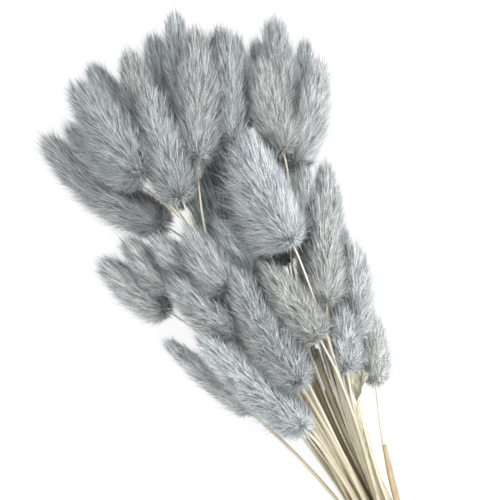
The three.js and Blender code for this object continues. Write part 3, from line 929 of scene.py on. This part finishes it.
def tube(line, radius, shades, seed):
    """A round tube along a line, closed at both ends, as points, triangles, colours and grain."""
    way = unit(np.gradient(line, axis=0))
    side = unit(np.cross(way, [0, 0, 1]))
    up = np.cross(side, way)
    around = np.arange(STEM_SIDES)
    angle = around * 2 * np.pi / STEM_SIDES
    out = side[:, None] * np.cos(angle)[:, None] + up[:, None] * np.sin(angle)[:, None]
    points = line[:, None] + out * radius[:, None, None]
    fan = np.stack([0 * around[1:-1], around[1:-1], around[2:]], 1)
    last = (len(line) - 1) * STEM_SIDES
    sheet = grid_triangles(len(line), STEM_SIDES, True)
    triangles = np.concatenate([sheet, fan[:, ::-1], fan + last])
    grain = np.zeros_like(points)
    grain[..., 0] = radius[:, None] * np.cos(angle) + seed
    grain[..., 1] = travelled(line)[:, None]
    grain[..., 2] = radius[:, None] * np.sin(angle)
    colours = np.repeat(shades, STEM_SIDES, 0)
    return points.reshape(-1, 3), triangles, colours, grain.reshape(-1, 3)


def ribbon(line, facing, width, curl, shades, seed, columns):
    """A strip along a line, curled across its width, as points, triangles, colours and grain."""
    way = unit(np.gradient(line, axis=0))
    side = unit(np.cross(way, facing))
    face = np.cross(side, way)
    across = np.linspace(-1, 1, columns)
    turn = across * curl[:, None]
    beside = across * width[:, None] / 2 * np.sinc(turn / (2 * np.pi))
    sunk = width[:, None] * turn * across / 8 * np.sinc(turn / (4 * np.pi)) ** 2
    points = line[:, None] + side[:, None] * beside[..., None] - face[:, None] * sunk[..., None]
    grain = np.zeros_like(points)
    grain[..., 0] = across * width[:, None] / 2 + seed
    grain[..., 1] = travelled(line)[:, None]
    triangles = grid_triangles(len(line), columns, False)
    colours = np.repeat(shades, columns, 0)
    return points.reshape(-1, 3), triangles, colours, grain.reshape(-1, 3)


def joined(name, parts, material):
    """One object made of many tubes or ribbons."""
    points, triangles, colours, grain = stacked(parts)
    return new_object(name, points, triangles, material, colours, grain=grain)


def thicken(piece, thickness):
    """Gives a sheet its thickness."""
    solid = piece.modifiers.new("thickness", "SOLIDIFY")
    solid.thickness = thickness
    solid.offset = 0


def stem_looks(random, line, size, shade):
    """A stem's radius and colour along its line, with a leaf sheath low down and joints."""
    above_tie = line[:, 1] - TIE_Y
    share = ramp(line[:, 1], line[0, 1], line[-1, 1] - line[0, 1])
    radius = size * (STEM_LOW + (STEM_HIGH - STEM_LOW) * ramp(above_tie, 0, STEM_THINNING))
    straw = STRAW_GOLD + (STRAW_PALE - STRAW_GOLD) * random.uniform(*STRAW_PALES)
    white = ramp(above_tie, WHITE_FROM, WHITE_OVER)[:, None]
    straw = straw + (STRAW_WHITE - straw) * white
    # The shade given is painted shade, multiplied into the straw colour
    shades = straw * random.uniform(*STRAW_CHANGE) * shade
    sheath_end = random.uniform(*SHEATH_ENDS)
    if random.random() < SHEATH_CHANCE:
        wrapped = above_tie < sheath_end
        radius = radius + np.where(wrapped, SHEATH_EXTRA, 0)
        shades[wrapped] = (STRAW_DULL * random.uniform(*SHEATH_CHANGE) * shade)[wrapped]
    for joint in JOINTS + random.uniform(-JOINT_SHIFT, JOINT_SHIFT, len(JOINTS)):
        near = np.exp(-(((above_tie - joint) / JOINT_LENGTH) ** 2))
        radius = radius * (1 + JOINT_SWELL * near)
        shades = shades * (1 - JOINT_DARK * near)[:, None]
    shades = shades * (LOW_TONE + TONE_RISE * share)[:, None]
    return radius, shades


def line_between(random, lines):
    """A line between two close stems, or nothing where the two stand apart."""
    first, second = (lines[k] for k in random.choice(len(lines), 2, replace=False))
    end = min(TIE_Y + random.uniform(*BARE_ENDS), first[-1][1], second[-1][1])
    y = np.arange(max(first[0][1], second[0][1]), end, 2 * TRACE_STEP)
    sides = []
    for line in (first, second):
        sides.append(np.stack([np.interp(y, line[:, 1], line[:, k]) for k in range(3)], 1))
    if np.linalg.norm(sides[0][-1] - sides[1][-1]) > BARE_APART:
        return None
    share = random.uniform(*BARE_PLACES)
    return share * sides[0] + (1 - share) * sides[1]


def openness(line, others):
    """How far a line stays, seen from above, from the nearest of the others."""
    gaps = []
    for other in others:
        x = np.interp(line[:, 1], other[:, 1], other[:, 0], right=np.inf)
        gaps.append(np.abs(line[:, 0] - x))
    return np.min(gaps, 0).mean()


def find_heads():
    """The heads by their numbers."""
    nodes = sorted(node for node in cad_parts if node.startswith("head_"))
    return {int(node[-2:]): Head(node) for node in nodes}


def build_heads(heads):
    """The fur of each head, with hairs shared out by size and fewer on the hidden heads."""
    material = fur_material()
    sizes = {
        number: head.length * head.radius * (HIDDEN_DENSITY if number >= HIDDEN_FIRST else 1)
        for number, head in heads.items()
    }
    for number in heads:
        hairs = int(HAIR_TOTAL * sizes[number] / sum(sizes.values()))
        piece = fur(number, heads, material, hairs)
        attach(piece, "root")
        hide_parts(f"head_{number:02d}")


def build_stems(heads):
    """The stems that carry heads, one piece for each strand, and the bare stems."""
    material = fibre_material(
        "straw", roughness=0.5, streak=0.35 * MM, contrast=0.26, relief=0.06 * MM
    )
    random = np.random.default_rng(STEM_SEED)
    lines = []
    for node in sorted(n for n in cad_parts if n.startswith("stems_")):
        tubes = []
        for traced in trace_strand(node):
            line = into_head(traced[int(random.integers(0, CUT_RAGGED)):])[::2]
            lines.append(line)
            neck = line[-NECK_POINTS - 1]
            own = min(heads, key=lambda head: np.linalg.norm(head.axis(np.array(0.0)) - neck))
            # Painted shade beside and under the heads' fur, browner the deeper it is and weaker
            # where the sheaf opens out
            open_share = ramp(line[:, 1:2] - TIE_Y, OPEN_FROM, OPEN_OVER)
            brown = PAINTED_SHADE_BROWNING * (1 - OPEN_RELIEF * open_share)
            shade = painted_crowd_shade(line, own, heads)[:, None] ** brown
            radius, shades = stem_looks(random, line, random.uniform(*STEM_SIZES), shade)
            tubes.append(tube(line, radius, shades, random.random()))
        piece = joined("straw_" + node[-2:], tubes, material)
        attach(piece, "root")
        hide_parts(node)
    build_bare_stems(lines, material)


def build_bare_stems(lines, material):
    """Stems without heads that fill the sheaf, pale ones among ones darkened brown as painted
    shade.
    """
    random = np.random.default_rng(BARE_SEED)
    standing = list(lines)
    tubes = []
    while len(tubes) < BARE_STEMS:
        choices = [line_between(random, lines) for _ in range(BARE_CHOICES)]
        choices = [line for line in choices if line is not None]
        if not choices:
            continue
        line = max(choices, key=lambda choice: openness(choice, standing))
        standing.append(line)
        # Painted shade: the darker bare stems stand for the deep shade between stems in the sheaf
        pale = math.sqrt(random.random())
        shade = (BARE_DARK * DEEP_SHADE * (1 - pale) + pale) * np.ones((len(line), 1))
        radius, shades = stem_looks(random, line, random.uniform(*BARE_SIZES), shade)
        tubes.append(tube(line, radius, shades, random.random()))
    piece = joined("bare_stems", tubes, material)
    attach(piece, "root")


def build_leaf():
    """The dried leaf: a rolled sheath, a twisted waist and a short blade, torn across."""
    material = fibre_material(
        "leaf", roughness=0.62, streak=0.45 * MM, contrast=0.22, relief=0.10 * MM
    )
    random = np.random.default_rng(LEAF_SEED)
    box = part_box("flag_leaf")
    line = middle_line("flag_leaf", box[0].y + LEAF_MARGIN, box[1].y - LEAF_MARGIN, LEAF_STEP)
    share = np.linspace(0, 1, len(line))
    stations, *columns = zip(*LEAF_FORM)
    width, curl, twist = (np.interp(share, stations, column) for column in columns)
    twist = np.radians(twist)
    facing = np.stack([np.sin(twist), 0 * twist, np.cos(twist)], 1)
    blade = ramp(share, BLADE_FROM, BLADE_OVER)[:, None]
    pale = LEAF_SHEATH + (LEAF_BLADE - LEAF_SHEATH) * blade
    points, triangles, colours, grain = ribbon(
        line, facing, width, np.radians(curl), pale, 0, LEAF_COLUMNS
    )

    rows = len(line)
    sheet = points.reshape(rows, LEAF_COLUMNS, 3)
    across = np.linspace(-1, 1, LEAF_COLUMNS)[None] * np.ones((rows, 1))
    along = share[:, None] * np.ones((1, LEAF_COLUMNS))
    crumple = LEAF_CRUMPLE * ramp(along, LOOSE_FROM, LOOSE_OVER)
    wave_across, wave_along = HEAVE_WAVES
    sheet[..., 2] += crumple * waves(random, across * wave_across, along * wave_along, 1, 5)
    wave_across, wave_along = SWAY_WAVES
    sheet[..., 0] += 0.5 * crumple * waves(random, across * wave_across, along * wave_along, 1, 4)
    jags = 0.5 + 0.5 * np.sin(np.arange(LEAF_COLUMNS) * TEAR_WAVE)
    tear = LEAF_TEAR * random.uniform(0, 1, LEAF_COLUMNS) * jags
    sheet[..., 1] -= tear * ramp(along, TEAR_FROM, TEAR_OVER)

    wave_across, wave_along = BLOTCH_WAVES
    blotch = waves(random, across * wave_across, along * wave_along, 1, 5)
    edge = EDGE_DARK * ramp(np.abs(across), EDGE_FROM, EDGE_OVER)
    end = END_DARK * ramp(along, END_FROM, END_OVER)
    tone = (1 + BLOTCH_TONE * blotch) * (1 - edge - end)
    colours = colours * tone.reshape(-1, 1)
    points = sheet.reshape(-1, 3)
    piece = new_object("dried_leaf", points, triangles, material, colours, grain=grain)
    thicken(piece, LEAF_THICKNESS)
    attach(piece, "root")
    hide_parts("flag_leaf")


def raffia_strip(random, line, facing, width):
    """A flat strip of raffia with a faint fold down it, narrowing towards its end."""
    share = np.linspace(0, 1, len(line))
    taper = 1 - RAFFIA_TAPER * ramp(share, TAPER_FROM, TAPER_OVER)
    wavering = 1 + WIDTH_WAVE * np.sin(share * random.uniform(*WIDTH_WAVES))
    tint = RAFFIA_TINT * random.uniform(*RAFFIA_CHANGE)
    ripple = 1 + TINT_WAVE * np.sin(share * TINT_WAVES + random.uniform(0, 6))
    curl = np.full(len(line), random.uniform(*RAFFIA_CURL))
    return ribbon(
        line, facing, width * taper * wavering, curl, tint * ripple[:, None],
        random.random(), RAFFIA_COLUMNS,
    )


def raffia_turns(random, middle):
    """The turns round the stems, side by side along the band."""
    strips = []
    for turn in range(TURNS):
        angle = np.linspace(0, 2 * np.pi, TURN_POINTS) + turn * TURN_START
        place = (turn / (TURNS - 1) - 0.5) * 2 * (TIE_BAND - RAFFIA_WIDTH / 2)
        slant = random.uniform(-1, 1) * TURN_SLANT
        radius = TIED_RADIUS + random.uniform(0, 1) * TURN_LOOSENESS
        out = np.stack([np.cos(angle), 0 * angle, np.sin(angle)], 1)
        line = middle + out * radius
        line[:, 1] += place + slant * np.sin(angle)
        strips.append(raffia_strip(random, line, out, RAFFIA_WIDTH))
    return strips


def raffia_loops(random, knot):
    """The knot's two loops, each leaning its own way."""
    strips = []
    angle = np.linspace(0, 2 * np.pi, LOOP_POINTS)
    x = LOOP_HALF_WIDTH * np.cos(angle)
    y = LOOP_HALF_LENGTH * np.sin(angle)
    z = LOOP_BEND * np.cos(2 * angle)
    facing = np.tile(LOOP_FACING, (LOOP_POINTS, 1))
    for lean in LOOP_LEANS:
        turned_x = x * math.cos(lean) - y * math.sin(lean)
        turned_y = x * math.sin(lean) + y * math.cos(lean)
        line = knot + np.stack([turned_x, turned_y, z], 1)
        strips.append(raffia_strip(random, line, facing, LOOP_STRIP))
    return strips


def build_tie():
    """Raffia wound round the stems, with a knot and two tails."""
    material = fibre_material(
        "raffia", roughness=0.6, streak=0.30 * MM, contrast=0.34, relief=0.12 * MM
    )
    random = np.random.default_rng(TIE_SEED)
    points = mesh_points("raffia_tie")
    band = points[np.abs(points[:, 1] - TIE_Y) < TIE_BAND]
    low, high = band.min(0), band.max(0)
    middle = np.array([low[0] + TIE_RADIUS, TIE_Y, low[2] + TIE_RADIUS])
    strips = raffia_turns(random, middle)

    reach = TIE_BAND + TAIL_FROM
    top = points[:, 1].max() - TAIL_MARGIN
    bottom = points[:, 1].min() + TAIL_MARGIN
    upper = middle_line("raffia_tie", TIE_Y + reach, top, TAIL_STEP)
    lower = middle_line("raffia_tie", bottom, TIE_Y - reach, TAIL_STEP)[::-1]
    knot = np.array([(upper[0][0] + lower[0][0]) / 2, TIE_Y, high[2] + KNOT_RISE])
    for tail in (upper, lower):
        arch = (knot + tail[0]) / 2 + np.array([0, 0, KNOT_ARCH])
        line = np.concatenate([[knot, arch], tail])
        facing = np.tile(TAIL_FACING, (len(line), 1))
        strips.append(raffia_strip(random, line, facing, TAIL_WIDTH))
    strips += raffia_loops(random, knot)
    piece = joined("raffia", strips, material)
    thicken(piece, RAFFIA_THICKNESS)
    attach(piece, "root")
    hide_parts("raffia_tie")


def build_stage():
    """A wide white ground just under the bunch."""
    mesh = bpy.data.meshes.new("floor")
    signs = ((-1, -1), (1, -1), (1, 1), (-1, 1))
    corners = [(x * FLOOR_HALF, y * FLOOR_HALF, 0) for x, y in signs]
    mesh.from_pydata(corners, [], [(0, 1, 2, 3)])
    floor = bpy.data.objects.new("floor", mesh)
    floor.location.z = -FLOOR_DROP
    material = bpy.data.materials.new("floor")
    material.use_nodes = True
    shader = material.node_tree.nodes["Principled BSDF"]
    shader.inputs["Base Color"].default_value = (FLOOR_GREY, FLOOR_GREY, FLOOR_GREY, 1)
    shader.inputs["Emission Color"].default_value = (1, 1, 1, 1)
    shader.inputs["Emission Strength"].default_value = FLOOR_GLOW
    shader.inputs["Roughness"].default_value = FLOOR_ROUGHNESS
    shader.inputs["Specular IOR Level"].default_value = FLOOR_GLOSS
    mesh.materials.append(material)
    bpy.context.scene.collection.objects.link(floor)


def build_light():
    """A white world and one soft lamp to the right of the bunch."""
    world = bpy.data.worlds.new("world")
    world.use_nodes = True
    background = world.node_tree.nodes["Background"]
    background.inputs["Color"].default_value = (1, 1, 1, 1)
    background.inputs["Strength"].default_value = WORLD_LIGHT
    bpy.context.scene.world = world
    bpy.context.scene.view_settings.view_transform = "Standard"

    data = bpy.data.lights.new("key", "AREA")
    data.shape = "DISK"
    data.size = KEY_SIZE
    data.energy = KEY_POWER
    lamp = bpy.data.objects.new("key", data)
    lamp.location = KEY_PLACE
    x, y, z = np.array(KEY_PLACE) - np.array(KEY_AIM)
    lamp.rotation_euler = (math.atan2(math.hypot(x, y), z), 0, math.atan2(x, -y))
    bpy.context.scene.collection.objects.link(lamp)


def build_camera():
    """A camera straight above, turned so that the bunch lies as in the photograph."""
    data = bpy.data.cameras.new("camera")
    data.sensor_width = SENSOR_WIDTH
    data.lens = SENSOR_WIDTH * (CAMERA_HEIGHT - VIEW_PLANE) / VIEW_WIDTH
    data.clip_start, data.clip_end = CAMERA_CLIP
    camera = bpy.data.objects.new("camera", data)
    camera.location = (*VIEW_CENTRE, CAMERA_HEIGHT)
    camera.rotation_euler = (0, 0, VIEW_TURN)
    bpy.context.scene.collection.objects.link(camera)
    bpy.context.scene.camera = camera


build_camera()
build_light()
build_stage()
found_heads = find_heads()
build_heads(found_heads)
build_stems(found_heads.values())
build_leaf()
build_tie()
